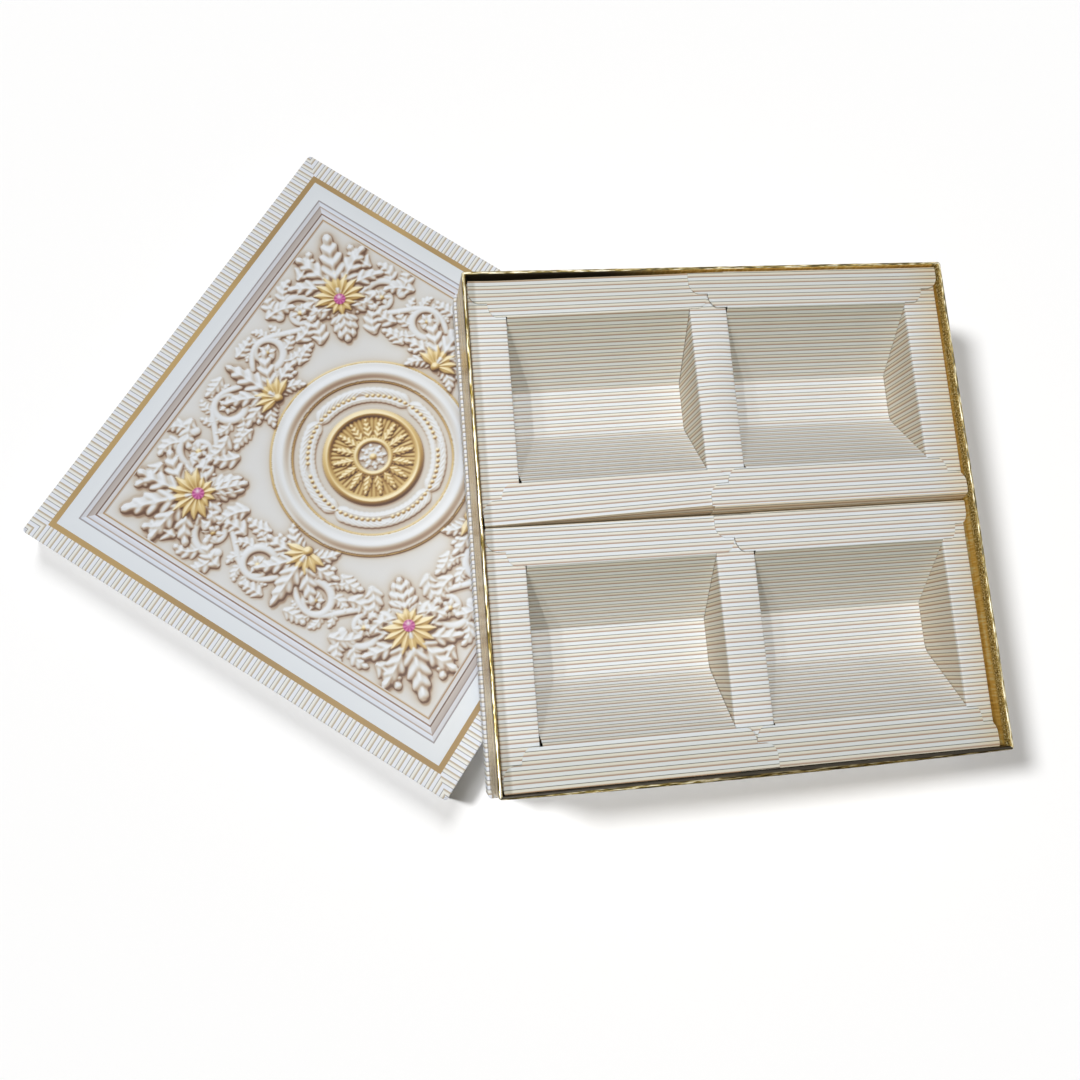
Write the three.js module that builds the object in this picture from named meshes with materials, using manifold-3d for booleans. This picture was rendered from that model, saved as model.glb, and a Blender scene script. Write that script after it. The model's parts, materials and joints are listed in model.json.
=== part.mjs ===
// Dried fruit box: a square rigid paper box with a gold neck, four card compartments and a lift-off lid.
// Millimetres, +Z up. The lid lies flat on the table and the open base leans on one edge of it.
import * as THREE from 'three';
import { mergeVertices } from 'three/addons/utils/BufferGeometryUtils.js';
import Module from 'manifold-3d';

const wasm = await Module();
wasm.setup();

// Driving dimensions: the rigid box
const boxWidth = 276; // outside of base and lid, both square
const baseHeight = 52; // underside to the neck's rim
const shoulderHeight = 17.2; // underside to the striped ledge round the neck
const lidHeight = 18;
const wallBoard = 2.2;
const floorBoard = 2;
const lidPanelBoard = 2;
const neckBoard = 0.8;
const wrapPaper = 0.4;
const bottomPaper = 0.5;
const linerPaper = 0.3;
const foilPaper = 0.3;
const glueGap = 0.2; // between glued layers
const wrapHemLift = 0.3; // cover paper stops short of the table

// Driving dimensions: the folded card inserts
const card = 0.6;
const neckDrop = 2.4; // flange tops below the neck's rim
const troughDepth = 32.8;
const troughFloor = 26.6;
const flange = 20.4;
const leftStrip = 19.8;
const centreStrip = 20.5;
const rightMargin = 21; // compartments to the inserts' limit on the right
const backStripGap = 2; // how far the strips and wings on the right stop short of that limit
const frontStripGap = 7.5;
const backWingGap = 1;
const frontWingGap = 4;
const leftWingGap = 0.4;
const centreStripOffset = -2.45; // the middle strip stands a little left of centre
const rowGap = 3.4;
const sideClearance = 0.6; // the inserts' limit to the neck, left and right
const endClearance = 1.5; // inserts to the neck, front and back
const trayClearance = 0.4; // trough to the cradle's end walls
const lapClearance = 0.3; // a flange's tip to the neighbour's fold
const lobeFlat = 4; // straight start of each rounded step at a flange's end
const innerLobeRise = 8;
const outerLobeRise = 6.5;
const lobeSegments = 5;
const legSlant = 9; // how far each end of a leg leans in at its foot
const legInset = 0.6; // a leg's upper corner to the end of its wing
const foldLip = 3; // overlap of a trough with its flanges
const seatGap = 0.3;

// Driving dimensions: how the lid lies under the leaning base
const lidTurn = THREE.MathUtils.degToRad(-36.44);
const lidReach = 45.6; // base centre to the lid edge that carries it, square to that edge
const lidShift = -68.7; // lid centre along that edge
const restGap = 0.3;

// Worked-out sizes of the rigid box
const half = boxWidth / 2;
const wrapInner = half - wrapPaper;
const wallOuter = wrapInner - glueGap;
const wallInner = wallOuter - wallBoard;
const neckOuter = wallInner - glueGap;
const neckBoardOuter = neckOuter - foilPaper - glueGap;
const neckBoardInner = neckBoardOuter - neckBoard;
const neckInner = neckBoardInner - glueGap - foilPaper;
const boardBottom = bottomPaper + glueGap;
const floorTop = boardBottom + floorBoard;
const linerBottom = floorTop + glueGap;
const linerTop = linerBottom + linerPaper;
const wallTop = shoulderHeight - wrapPaper - glueGap;

// Worked-out sizes of the inserts
const flangeTop = baseHeight - neckDrop;
const lapRise = card + glueGap;
const stripTop = flangeTop - card - glueGap;
const troughTop = flangeTop - troughDepth;
const cradleFloorTop = troughTop - card - glueGap;
const legFoot = linerTop + seatGap;
const insertHalf = neckInner - sideClearance;
const rowDepth = (2 * (neckInner - endClearance) - rowGap) / 2;
const rowCentre = (rowDepth + rowGap) / 2;
const mouth = rowDepth - 2 * flange;
const cradleDepth = rowDepth - 2 * (card + glueGap);
const centreLeft = centreStripOffset - centreStrip / 2;
const centreRight = centreStripOffset + centreStrip / 2;
const columns = {
  left: { from: leftStrip - insertHalf, to: centreLeft },
  right: { from: centreRight, to: insertHalf - rightMargin },
};
const lapWing = centreStrip - lapClearance;

// Finishes
const finish = (color, roughness, metalness = 0) => new THREE.MeshStandardMaterial({ color, roughness, metalness });
const greyboard = finish(0xb9ac98, 0.9);
const stripedPaper = finish(0xe4ddd0, 0.55);
const printedPaper = finish(0xe9e2d6, 0.4);
const whitePaper = finish(0xf0eee8, 0.8);
const goldFoil = finish(0xb9963c, 0.22, 0.9);
const stripedCard = finish(0xe2dacb, 0.7);

// Turns a closed geometry into a solid that can be joined
function toSolid(geometry) {
  const bare = geometry.clone();
  bare.deleteAttribute('normal');
  bare.deleteAttribute('uv');
  const merged = mergeVertices(bare, 1e-4);
  const vertProperties = new Float32Array(merged.attributes.position.array);
  const triVerts = new Uint32Array(merged.index.array);
  return new wasm.Manifold(new wasm.Mesh({ numProp: 3, vertProperties, triVerts }));
}

function join(...geometries) {
  const solid = geometries.map(toSolid).reduce((whole, next) => whole.add(next));
  const { vertProperties, triVerts } = solid.getMesh();
  const geometry = new THREE.BufferGeometry();
  geometry.setAttribute('position', new THREE.BufferAttribute(new Float32Array(vertProperties), 3));
  geometry.setIndex(new THREE.BufferAttribute(new Uint32Array(triVerts), 1));
  geometry.computeVertexNormals();
  return geometry;
}

function piece(name, geometry, material, position = [0, 0, 0]) {
  const mesh = new THREE.Mesh(geometry, material);
  mesh.name = name;
  mesh.position.set(...position);
  return mesh;
}

// A block centred in plan, standing from bottom to top
function block(width, depth, bottom, top) {
  return new THREE.BoxGeometry(width, depth, top - bottom).translate(0, 0, (bottom + top) / 2);
}

function prism(points, depth) {
  const shape = new THREE.Shape(points);
  return new THREE.ExtrudeGeometry(shape, { depth, bevelEnabled: false });
}

// A square frame in plan, standing from bottom to top
function squareFrame(outer, inner, bottom, top) {
  const square = (h) => [[-h, -h], [h, -h], [h, h], [-h, h]].map(([x, y]) => new THREE.Vector2(x, y));
  const shape = new THREE.Shape(square(outer));
  shape.holes.push(new THREE.Path(square(inner)));
  const frame = new THREE.ExtrudeGeometry(shape, { depth: top - bottom, bevelEnabled: false });
  return frame.translate(0, 0, bottom);
}

// Outline of a folded sheet: the path is its face, and its thickness lies to the right of the walk
function foldedOutline(path, thickness) {
  const side = (a, b) => new THREE.Vector2(b.y - a.y, a.x - b.x).normalize();
  const back = path.map((point, i) => {
    const before = i > 0 ? side(path[i - 1], point) : side(point, path[i + 1]);
    const after = i < path.length - 1 ? side(point, path[i + 1]) : before;
    const mitre = before.clone().add(after).normalize();
    return point.clone().addScaledVector(mitre, thickness / mitre.dot(before));
  });
  return [...path, ...back.reverse()];
}

const vec = (x, y) => new THREE.Vector2(x, y);
const axisX = new THREE.Vector3(1, 0, 0);
const axisY = new THREE.Vector3(0, 1, 0);
const axisZ = new THREE.Vector3(0, 0, 1);
const sectionAcrossX = new THREE.Matrix4().makeBasis(axisY, axisZ, axisX);
const sectionAcrossY = new THREE.Matrix4().makeBasis(axisX, axisZ, axisY.clone().negate());

// Four boards round a square: left and right run through, front and back fit between them
function boardRing(prefix, outer, inner, bottom, top) {
  const thickness = outer - inner;
  const middle = (outer + inner) / 2;
  const through = block(thickness, 2 * outer, bottom, top);
  const between = block(2 * (inner - glueGap), thickness, bottom, top);
  return [
    piece(`${prefix}_left`, through, greyboard, [-middle, 0, 0]),
    piece(`${prefix}_right`, through.clone(), greyboard, [middle, 0, 0]),
    piece(`${prefix}_front`, between, greyboard, [0, -middle, 0]),
    piece(`${prefix}_back`, between.clone(), greyboard, [0, middle, 0]),
  ];
}

// Shallow base tray with its cover paper turned over the walls' top edge
function baseTray() {
  const band = squareFrame(half, wrapInner, boardBottom, shoulderHeight);
  const ledge = squareFrame(half, wallInner, shoulderHeight - wrapPaper, shoulderHeight);
  return [
    piece('base_bottom_sheet', block(2 * wrapInner, 2 * wrapInner, 0, bottomPaper), whitePaper),
    piece('base_floor_board', block(2 * neckOuter, 2 * neckOuter, boardBottom, floorTop), greyboard),
    ...boardRing('base_wall', wallOuter, wallInner, boardBottom, wallTop),
    piece('base_wrap', join(band, ledge), stripedPaper),
    piece('base_floor_liner', block(2 * (neckInner - glueGap), 2 * (neckInner - glueGap), linerBottom, linerTop), whitePaper),
  ];
}

// Tall neck inside the base walls, with foil paper folded over its rim and down both faces
function neck() {
  const outerFace = squareFrame(neckOuter, neckOuter - foilPaper, linerBottom, baseHeight);
  const rim = squareFrame(neckOuter, neckInner, baseHeight - foilPaper, baseHeight);
  const innerFace = squareFrame(neckInner + foilPaper, neckInner, linerBottom, baseHeight);
  return [
    ...boardRing('neck', neckBoardOuter, neckBoardInner, linerBottom, baseHeight - foilPaper - glueGap),
    piece('neck_foil', join(outerFace, rim, innerFace), goldFoil),
  ];
}

// One card sheet for each row: end legs, three strips and two wells, folded across the box
function cradle(name, rowY, stripGap) {
  const { left, right } = columns;
  const rightEnd = insertHalf - stripGap;
  const path = [
    vec(-insertHalf, legFoot), vec(-insertHalf, stripTop),
    vec(left.from, stripTop), vec(left.from, cradleFloorTop), vec(left.to, cradleFloorTop), vec(left.to, stripTop),
    vec(right.from, stripTop), vec(right.from, cradleFloorTop), vec(right.to, cradleFloorTop), vec(right.to, stripTop),
    vec(rightEnd, stripTop), vec(rightEnd, legFoot),
  ];
  const sheet = prism(foldedOutline(path, card), cradleDepth).applyMatrix4(sectionAcrossY);
  return piece(name, sheet.translate(0, cradleDepth / 2, 0), stripedCard, [0, rowY, 0]);
}

// Points of the two rounded steps at a flange's end, from the fold's corner outwards
function lobePoints(wing) {
  const step = wing / 2;
  const points = [];
  for (const [start, low, rise] of [[0, 0, innerLobeRise], [step, innerLobeRise, outerLobeRise]]) {
    for (let i = 0; i <= lobeSegments; i++) {
      const angle = (Math.PI / 2) * (i / lobeSegments);
      points.push(vec(start + lobeFlat + (step - lobeFlat) * Math.sin(angle), low + rise * (1 - Math.cos(angle))));
    }
  }
  return points;
}

// A flange with its wings, lying outwards from the fold line at y = 0
function flangePlate(width, leftWing, rightWing) {
  const right = lobePoints(rightWing).map((p) => vec(width / 2 + p.x, p.y));
  const left = lobePoints(leftWing).map((p) => vec(-width / 2 - p.x, p.y)).reverse();
  const tips = [vec(width / 2 + rightWing, flange), vec(-width / 2 - leftWing, flange)];
  return prism([vec(-width / 2, 0), vec(width / 2, 0), ...right, ...tips, ...left], card);
}

// How far a leg reaches under its flange's wing; the upper of two lapped wings has no leg below it
const legEnd = (wing, rise) => (wing === lapWing && rise > 0 ? 0 : wing - legInset);

// A leg folded down from a flange's outer edge, leaning in at both ends
function legPlate(width, reach, top) {
  const left = -width / 2 - reach.left;
  const right = width / 2 + reach.right;
  const points = [
    vec(left, top), vec(right, top),
    vec(right - reach.right - legSlant, legFoot), vec(left + reach.left + legSlant, legFoot),
  ];
  return prism(points, card).applyMatrix4(sectionAcrossY);
}

// One card sheet for each compartment: leg, flange, slope, floor, slope, flange, leg
function tray(name, rowY, column, wings, rises) {
  const width = column.to - column.from;
  const legReach = (rise) => ({ left: legEnd(wings.left, rise), right: legEnd(wings.right, rise) });
  const backTop = flangeTop + rises.back;
  const frontTop = flangeTop + rises.front;
  const path = [
    vec(-mouth / 2 - foldLip, frontTop), vec(-mouth / 2, frontTop),
    vec(-troughFloor / 2, troughTop), vec(troughFloor / 2, troughTop),
    vec(mouth / 2, backTop), vec(mouth / 2 + foldLip, backTop),
  ];
  const troughWidth = width - 2 * trayClearance;
  const trough = prism(foldedOutline(path, card), troughWidth).applyMatrix4(sectionAcrossX);
  const backFlange = flangePlate(width, wings.left, wings.right).translate(0, mouth / 2, backTop - card);
  const frontFlange = flangePlate(width, wings.right, wings.left).rotateZ(Math.PI).translate(0, -mouth / 2, frontTop - card);
  const sheet = join(
    trough.translate(-troughWidth / 2, 0, 0),
    backFlange,
    frontFlange,
    legPlate(width, legReach(rises.back), backTop).translate(0, rowDepth / 2, 0),
    legPlate(width, legReach(rises.front), frontTop).translate(0, card - rowDepth / 2, 0),
  );
  return piece(name, sheet, stripedCard, [(column.from + column.to) / 2, rowY, 0]);
}

// In the back row the right tray laps over the left one, in the front row each laps over the other once
function inserts() {
  const leftWings = { left: leftStrip - leftWingGap, right: lapWing };
  const backRightWings = { left: lapWing, right: rightMargin - backWingGap };
  const frontRightWings = { left: lapWing, right: rightMargin - frontWingGap };
  const over = lapRise;
  return [
    cradle('back_cradle', rowCentre, backStripGap),
    cradle('front_cradle', -rowCentre, frontStripGap),
    tray('back_left_tray', rowCentre, columns.left, leftWings, { back: 0, front: 0 }),
    tray('back_right_tray', rowCentre, columns.right, backRightWings, { back: over, front: over }),
    tray('front_left_tray', -rowCentre, columns.left, leftWings, { back: 0, front: over }),
    tray('front_right_tray', -rowCentre, columns.right, frontRightWings, { back: over, front: 0 }),
  ];
}

// Shallow lid, open side down, with the printed cover paper over its top and walls
function lid() {
  const wrapBottom = lidHeight - wrapPaper;
  const panelTop = wrapBottom - glueGap;
  const panelBottom = panelTop - lidPanelBoard;
  const lidWallTop = panelBottom - glueGap;
  const sheet = block(boxWidth, boxWidth, wrapBottom, lidHeight);
  const band = squareFrame(half, wrapInner, wrapHemLift, lidHeight);
  const linerWidth = 2 * (wallInner - glueGap);
  return [
    ...boardRing('lid_wall', wallOuter, wallInner, 0, lidWallTop),
    piece('lid_panel_board', block(2 * wallOuter, 2 * wallOuter, panelBottom, panelTop), greyboard),
    piece('lid_wrap', join(sheet, band), printedPaper),
    piece('lid_liner', block(linerWidth, linerWidth, panelBottom - glueGap - linerPaper, panelBottom - glueGap), whitePaper),
  ];
}

// The base leans about the lid's edge until its front right corner meets the table
const across = new THREE.Vector3(Math.cos(lidTurn), Math.sin(lidTurn), 0);
const along = new THREE.Vector3(-Math.sin(lidTurn), Math.cos(lidTurn), 0);
const lowCorner = across.x * wrapInner - across.y * wrapInner;
const lean = Math.asin((lidHeight + restGap) / (lowCorner + lidReach));

const openBase = new THREE.Group();
openBase.add(...baseTray(), ...neck(), ...inserts());
openBase.quaternion.setFromAxisAngle(along, lean);
openBase.position.z = lowCorner * Math.sin(lean);

const lidGroup = new THREE.Group();
lidGroup.add(...lid());
lidGroup.rotation.z = lidTurn;
lidGroup.position.addScaledVector(across, -lidReach * Math.cos(lean) - half).addScaledVector(along, lidShift);

const box = new THREE.Group();
box.add(openBase, lidGroup);

// The origin is the middle of the whole set, on the table
box.updateMatrixWorld(true);
const extent = new THREE.Box3().setFromObject(box, true);
const middle = extent.getCenter(new THREE.Vector3());
box.position.set(-middle.x, -middle.y, -extent.min.z);

export default box;
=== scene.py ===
# %% [markdown]
# # A dried fruit box in paper, card and foil
# The real object is a rigid paper box with its lid off: a striped base with a gold neck, four folded card
# compartments, and a shallow printed lid lying under one side of the base. The solids come from the
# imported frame, and this lesson dresses them. The frame goes in first, because every later size is read
# from it.

# %% Load the frame
import json
import math

import bpy
import numpy as np
from mathutils import Matrix, Vector


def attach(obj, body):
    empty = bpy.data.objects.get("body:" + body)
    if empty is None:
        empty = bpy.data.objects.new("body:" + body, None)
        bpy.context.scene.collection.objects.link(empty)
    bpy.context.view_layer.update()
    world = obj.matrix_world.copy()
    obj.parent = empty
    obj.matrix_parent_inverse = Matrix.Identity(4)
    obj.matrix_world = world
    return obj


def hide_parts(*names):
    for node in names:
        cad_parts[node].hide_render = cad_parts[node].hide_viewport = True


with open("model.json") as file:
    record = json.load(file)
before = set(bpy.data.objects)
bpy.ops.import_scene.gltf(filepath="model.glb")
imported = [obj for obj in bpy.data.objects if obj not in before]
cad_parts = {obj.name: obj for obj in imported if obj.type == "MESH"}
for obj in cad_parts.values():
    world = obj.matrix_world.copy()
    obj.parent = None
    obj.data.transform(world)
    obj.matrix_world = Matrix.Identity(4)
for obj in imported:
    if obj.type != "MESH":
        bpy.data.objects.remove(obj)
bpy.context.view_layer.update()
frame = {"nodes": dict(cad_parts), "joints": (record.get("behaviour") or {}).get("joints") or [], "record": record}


def placed(name, data):
    """A new object at the origin, in the scene."""
    made = bpy.data.objects.new(name, data)
    bpy.context.scene.collection.objects.link(made)
    return made


# %% [markdown]
# ## Two seats
# The base leans on the lid, so neither lies square to the row frame. Working in tilted numbers would be
# hard to read, so each gets a seat: its own axes in millimetres, x right, y back and z up from its
# underside. The inserts lift straight out of the base, so their joint gives the base's upright, and the
# lid's slide gives the lid's edge direction.

# %% Seats of the base and the lid
class Seat:
    """A place on the object with its own axes, in millimetres."""

    def __init__(self, turn, origin):
        self.turn = np.array(turn)
        self.origin = np.array(origin, float)

    def to_row(self, points):
        return (np.asarray(points, float) @ self.turn.T + self.origin) / 1000

    def span(self, node):
        row = np.array([v.co for v in frame["nodes"][node].data.vertices]) * 1000
        local = (row - self.origin) @ self.turn
        return local.min(0), local.max(0)


def seat_under(node, turn):
    low, high = Seat(turn, (0, 0, 0)).span(node)
    middle = (low[0] + high[0]) / 2, (low[1] + high[1]) / 2, low[2]
    return Seat(turn, np.array(turn) @ middle)


joint_axis = {j["name"]: Vector(j["axis"]) for j in frame["joints"]}
upright = Vector((0, 0, 1))
base_turn = upright.rotation_difference(joint_axis["back_cradle_lift"]).to_matrix()
lid_right = -joint_axis["lid_slide"]
lid_turn = Matrix((lid_right, upright.cross(lid_right), upright)).transposed()
base = seat_under("base_bottom_sheet", base_turn)
lid = seat_under("lid_wrap", lid_turn)
lid.origin[2] = 0
print("base seat at", base.origin.round(2), "lid seat at", lid.origin.round(2), "mm")

# %% [markdown]
# ## Camera
# The photograph looks down from above the lid's near side. A camera's own axes are right, up and
# backwards, so the view is given as the line of sight and a small roll. The lens is worked out for a
# square image.

# %% Camera
IMAGE_SIDE, FOCAL_PIXELS = 1080, 915.06
SENSOR = 36
CAMERA_SPOT = Vector((-0.014796, -0.153751, 0.525371))
SIGHT_LINE = Vector((0.0744279, 0.1901704, -0.9789258))
CAMERA_RIGHT = Vector((0.9946651, -0.0844687, 0.0592153))

camera_data = bpy.data.cameras.new("camera")
camera_data.sensor_width = SENSOR
camera_data.lens = SENSOR * FOCAL_PIXELS / IMAGE_SIDE
camera = placed("camera", camera_data)
camera_turn = Matrix((CAMERA_RIGHT, CAMERA_RIGHT.cross(SIGHT_LINE), -SIGHT_LINE)).transposed()
camera.matrix_world = Matrix.Translation(CAMERA_SPOT) @ camera_turn.to_4x4()
bpy.context.scene.camera = camera
bpy.context.scene.view_settings.view_transform = "Standard"
print("camera lens", round(camera_data.lens, 2), "mm")

# %% [markdown]
# ## Shader expressions
# A finish is easier to read as a formula than as a web of nodes. One small class wraps a socket, so that
# `1 - mask` or `run / period` adds the Math node by itself. Colours go through Mix, and any other node
# comes from the one method `node`, which sets its settings first and then its sockets.

# %% A socket that takes part in formulas
def operator(operation, swapped=False):
    """A method that adds a Math node for a Python operator."""
    def applied(self, other=0.0):
        return self.math(operation, other, self) if swapped else self.math(operation, self, other)

    return applied


class Wire:
    """A socket of a node tree that can stand in a Python expression."""

    def __init__(self, tree, socket=None):
        self.tree = tree
        self.socket = socket

    def node(self, kind, settings=None, sockets=None, out=0):
        made = self.tree.nodes.new(kind)
        for name, value in (settings or {}).items():
            if name == "stops":
                fill_ramp(made.color_ramp, value)
            else:
                setattr(made, name, value)
        plug(self.tree, made, sockets or {})
        return Wire(self.tree, made.outputs[out] if made.outputs else None)

    def math(self, operation, first, second):
        return self.node("ShaderNodeMath", {"operation": operation}, {0: first, 1: second})

    __add__, __radd__ = operator("ADD"), operator("ADD", swapped=True)
    __sub__, __rsub__ = operator("SUBTRACT"), operator("SUBTRACT", swapped=True)
    __mul__, __rmul__ = operator("MULTIPLY"), operator("MULTIPLY", swapped=True)
    __truediv__, __mod__ = operator("DIVIDE"), operator("FLOORED_MODULO")
    __gt__, __lt__ = operator("GREATER_THAN"), operator("LESS_THAN")
    __abs__ = operator("ABSOLUTE")


def plug(tree, node, values):
    """Gives a node's sockets their values: wires are linked, and anything else is set."""
    for key, value in values.items():
        if isinstance(value, Wire):
            tree.links.new(value.socket, node.inputs[key])
        else:
            node.inputs[key].default_value = value


def fill_ramp(ramp, stops):
    while len(ramp.elements) < len(stops):
        ramp.elements.new(1.0)
    for element, (place, colour) in zip(ramp.elements, stops):
        element.position = place
        element.color = colour


def soft_step(wire, value, low, high):
    sockets = {"Value": value, "From Min": low, "From Max": high}
    return wire.node("ShaderNodeMapRange", {"interpolation_type": "SMOOTHSTEP"}, sockets)


def mixed(wire, share, first, second, blend="MIX"):
    settings = {"data_type": "RGBA", "blend_type": blend}
    return wire.node("ShaderNodeMix", settings, {0: share, 6: first, 7: second}, out=2)


def tinted(wire, share, base_colour, tint):
    return mixed(wire, share, base_colour, tint, "MULTIPLY")


def ramped(wire, share, stops):
    return wire.node("ShaderNodeValToRGB", {"stops": stops}, {"Fac": share})


def cloudy(wire, scale, detail):
    """Soft noise over Object coordinates, so many clouds to the metre."""
    spot = wire.node("ShaderNodeTexCoord", out="Object")
    return wire.node("ShaderNodeTexNoise", None, {"Vector": spot, "Scale": scale, "Detail": detail})


def linear(channel):
    c = np.asarray(channel, float) / 255
    return np.where(c <= 0.04045, c / 12.92, ((c + 0.055) / 1.055) ** 2.4)


def colour(red, green, blue):
    return (*(float(x) for x in linear((red, green, blue))), 1.0)


def blank_tree(owner):
    """The emptied node tree of a material or of the world."""
    owner.use_nodes = True
    owner.node_tree.nodes.clear()
    return Wire(owner.node_tree)


def new_finish(name):
    material = bpy.data.materials.new(name)
    wire = blank_tree(material)
    shader = wire.node("ShaderNodeBsdfPrincipled")
    wire.node("ShaderNodeOutputMaterial", None, {"Surface": shader})
    return material, wire, shader.socket.node


def along(wire, seat, axis):
    """A seat's own coordinate in millimetres, from Object coordinates."""
    spot = wire.node("ShaderNodeTexCoord", out="Object")
    direction = seat.turn[:, axis]
    dot = wire.node("ShaderNodeVectorMath", {"operation": "DOT_PRODUCT"}, {0: spot, 1: direction}, "Value")
    return dot * 1000 - float(seat.origin @ direction)


print("shader helpers ready")

# %% [markdown]
# ## Studio
# The photograph has a white ground, soft light from above and from the left, and a soft shadow to the
# lower right. One large round lamp overhead, a little to the back, and two small ones at the front left
# light the object, so that the shadows inside the compartments come in steps. Light linking keeps these
# off the ground, which has a low sun of its own, so that its shadow is long enough to show beside the
# box, and a second one that only the lid shades. Suns leave no bright spot on the floor. A dim warm
# surround fills in the rest. On a flat surface all the light comes to about 1, so a colour renders about
# as it is written and nothing clips.

# %% Floor, surround and lamps
FLOOR_REACH = 4.0
FLOOR_WHITE = 0.97
SKY_LOW, SKY_RISE = 0.015, 0.1
SKY_TINT = (1.0, 0.92, 0.76, 1)
LAMP_TINT = (0.995, 1.0, 1.01)
LIT_SPOT = Vector((0.06, -0.06, 0.07))
# Lamps: place, share of the light, radius. Suns: lean, share of the light, softness in degrees.
OBJECT_LAMPS = {
    "top_lamp": ((0.0, 0.16, 1.35), 0.57, 0.16),
    "near_lamp": ((-0.42, -0.45, 1.20), 0.22, 0.02),
    "far_lamp": ((-0.62, -0.45, 1.15), 0.11, 0.03),
}
GROUND_SUNS = {"ground_sun": ((-0.78, 0.31), 0.6, 10), "edge_sun": ((0.0, 1.0), 0.34, 23)}

floor_mesh = bpy.data.meshes.new("floor")
floor_corners = [(sx * FLOOR_REACH, sy * FLOOR_REACH, 0) for sx, sy in ((-1, -1), (1, -1), (1, 1), (-1, 1))]
floor_mesh.from_pydata(floor_corners, [], [(0, 1, 2, 3)])
floor = placed("floor", floor_mesh)
floor_finish, wire, shader = new_finish("white_ground")
white = (FLOOR_WHITE, FLOOR_WHITE, FLOOR_WHITE, 1)
plug(wire.tree, shader, {"Base Color": white, "Roughness": 0.9, "Specular IOR Level": 0.1})
floor_mesh.materials.append(floor_finish)

world = bpy.data.worlds.new("surround")
wire = blank_tree(world)
rays = ["Is Camera Ray", "Is Glossy Ray", "Is Transmission Ray"]
camera_ray, glossy_ray, passing_ray = (wire.node("ShaderNodeLightPath", out=name) for name in rays)
shown = wire.math("MINIMUM", camera_ray + glossy_ray + passing_ray, 1.0)
direction = wire.node("ShaderNodeTexCoord", out="Generated")
rise = wire.math("MAXIMUM", wire.node("ShaderNodeSeparateXYZ", None, {0: direction}, "Z"), 0.0)
strength = shown + (1 - shown) * (rise * SKY_RISE + SKY_LOW)
tint = mixed(wire, shown, SKY_TINT, (1, 1, 1, 1))
glow = wire.node("ShaderNodeBackground", None, {"Color": tint, "Strength": strength})
wire.node("ShaderNodeOutputWorld", None, {"Surface": glow})
bpy.context.scene.world = world


def collected(name, objects, link_state="INCLUDE"):
    group = bpy.data.collections.new(name)
    for thing in objects:
        group.objects.link(thing)
    for member in group.collection_objects:
        member.light_linking.link_state = link_state
    return group


def add_light(name, kind, energy, receivers):
    data = bpy.data.lights.new(name, kind)
    data.energy = energy
    data.color = LAMP_TINT
    light = placed(name, data)
    light.light_linking.receiver_collection = receivers
    return light


all_but_ground = collected("all_but_ground", [floor], "EXCLUDE")
for name, (place, share, radius) in OBJECT_LAMPS.items():
    away = Vector(place) - LIT_SPOT
    lamp = add_light(name, "POINT", 4 * math.pi**2 * share * away.length**3 / away.z, all_but_ground)
    lamp.location = place
    lamp.data.shadow_soft_size = radius
ground_only = collected("ground_only", [floor])
for name, (lean, share, softness) in GROUND_SUNS.items():
    towards = Vector((*lean, 1.0)).normalized()
    sun = add_light(name, "SUN", share * math.pi / towards.z, ground_only)
    sun.rotation_mode = "QUATERNION"
    sun.rotation_quaternion = (-towards).to_track_quat("-Z", "Y")
    sun.data.angle = math.radians(softness)
lid_nodes = [node for name, node in frame["nodes"].items() if name.startswith("lid_")]
bpy.data.objects["edge_sun"].light_linking.blocker_collection = collected("lid_only", lid_nodes)
sky_share = SKY_LOW + SKY_RISE * 2 / 3
lamp_shares = [sum(share for _, share, *_ in lights.values()) for lights in (OBJECT_LAMPS, GROUND_SUNS)]
print("light on the object and on the ground:", [round(sky_share + share, 2) for share in lamp_shares])

# %% [markdown]
# ## Striped print
# Striped paper covers the base, the lid's border and all the inserts. It repeats a brown line that is
# sharp on one side and fades out on the other, a cream band, a thin grey line and a cool white band. A
# picture of stripes would blur up close, so the stripes are a colour ramp over one length, `run`, taken
# modulo the period, and each piece only has to say what its run is. Light that is bounced about between
# white walls comes out brighter than it does in the real box, so shade is painted into the print on the
# slopes, on the legs, in the wells and next to the neck, and a warm reflection of the foil is painted
# along the right.

# %% Stripes from one length
CARD_PERIOD, WRAP_PERIOD = 4.08, 4.72
CARD_INK = {
    "cool": colour(230, 235, 238), "line": colour(176, 149, 130),
    "cream": colour(232, 229, 217), "grey": colour(112, 112, 102),
}
WRAP_INK = {
    "cool": colour(222, 226, 234), "line": colour(176, 162, 140),
    "cream": colour(226, 226, 221), "grey": colour(140, 140, 142),
}
# Colours that multiply the print to paint shade into it: down the wells, on the slopes, on the legs, in a band
# along the left by the neck, at the front and back ends, and a warm painted reflection of the foil along the right
WELL_SHADE = (0.84, 0.77, 0.66, 1)
SLOPE_SHADE = (0.8, 0.775, 0.68, 1)
LEG_SHADE = (1.0, 0.88, 0.7, 1)
RIM_SHADOW = (0.72, 0.71, 0.68, 1)
END_SHADE = (0.87, 0.86, 0.82, 1)
FOIL_REFLECTION = (0.97, 0.88, 0.72, 1)
# Where the painted shade and the painted foil reflection fade in, in millimetres
DIM_END = 104, 122
LEFT_SHADE = 4.2, 6.4
FOIL_REFLECTION_REACH = 26
WELL_FADE = 0.8, 2.4


def striped(wire, run, period, ink):
    stops = [
        (0.0, ink["cool"]), (0.155, ink["cool"]), (0.2, ink["line"]), (0.27, ink["line"]),
        (0.45, ink["cream"]), (0.66, ink["cream"]), (0.695, ink["grey"]), (0.74, ink["grey"]),
        (0.78, ink["cool"]), (1.0, ink["cool"]),
    ]
    return ramped(wire, (run / period) % 1.0, stops)


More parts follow.
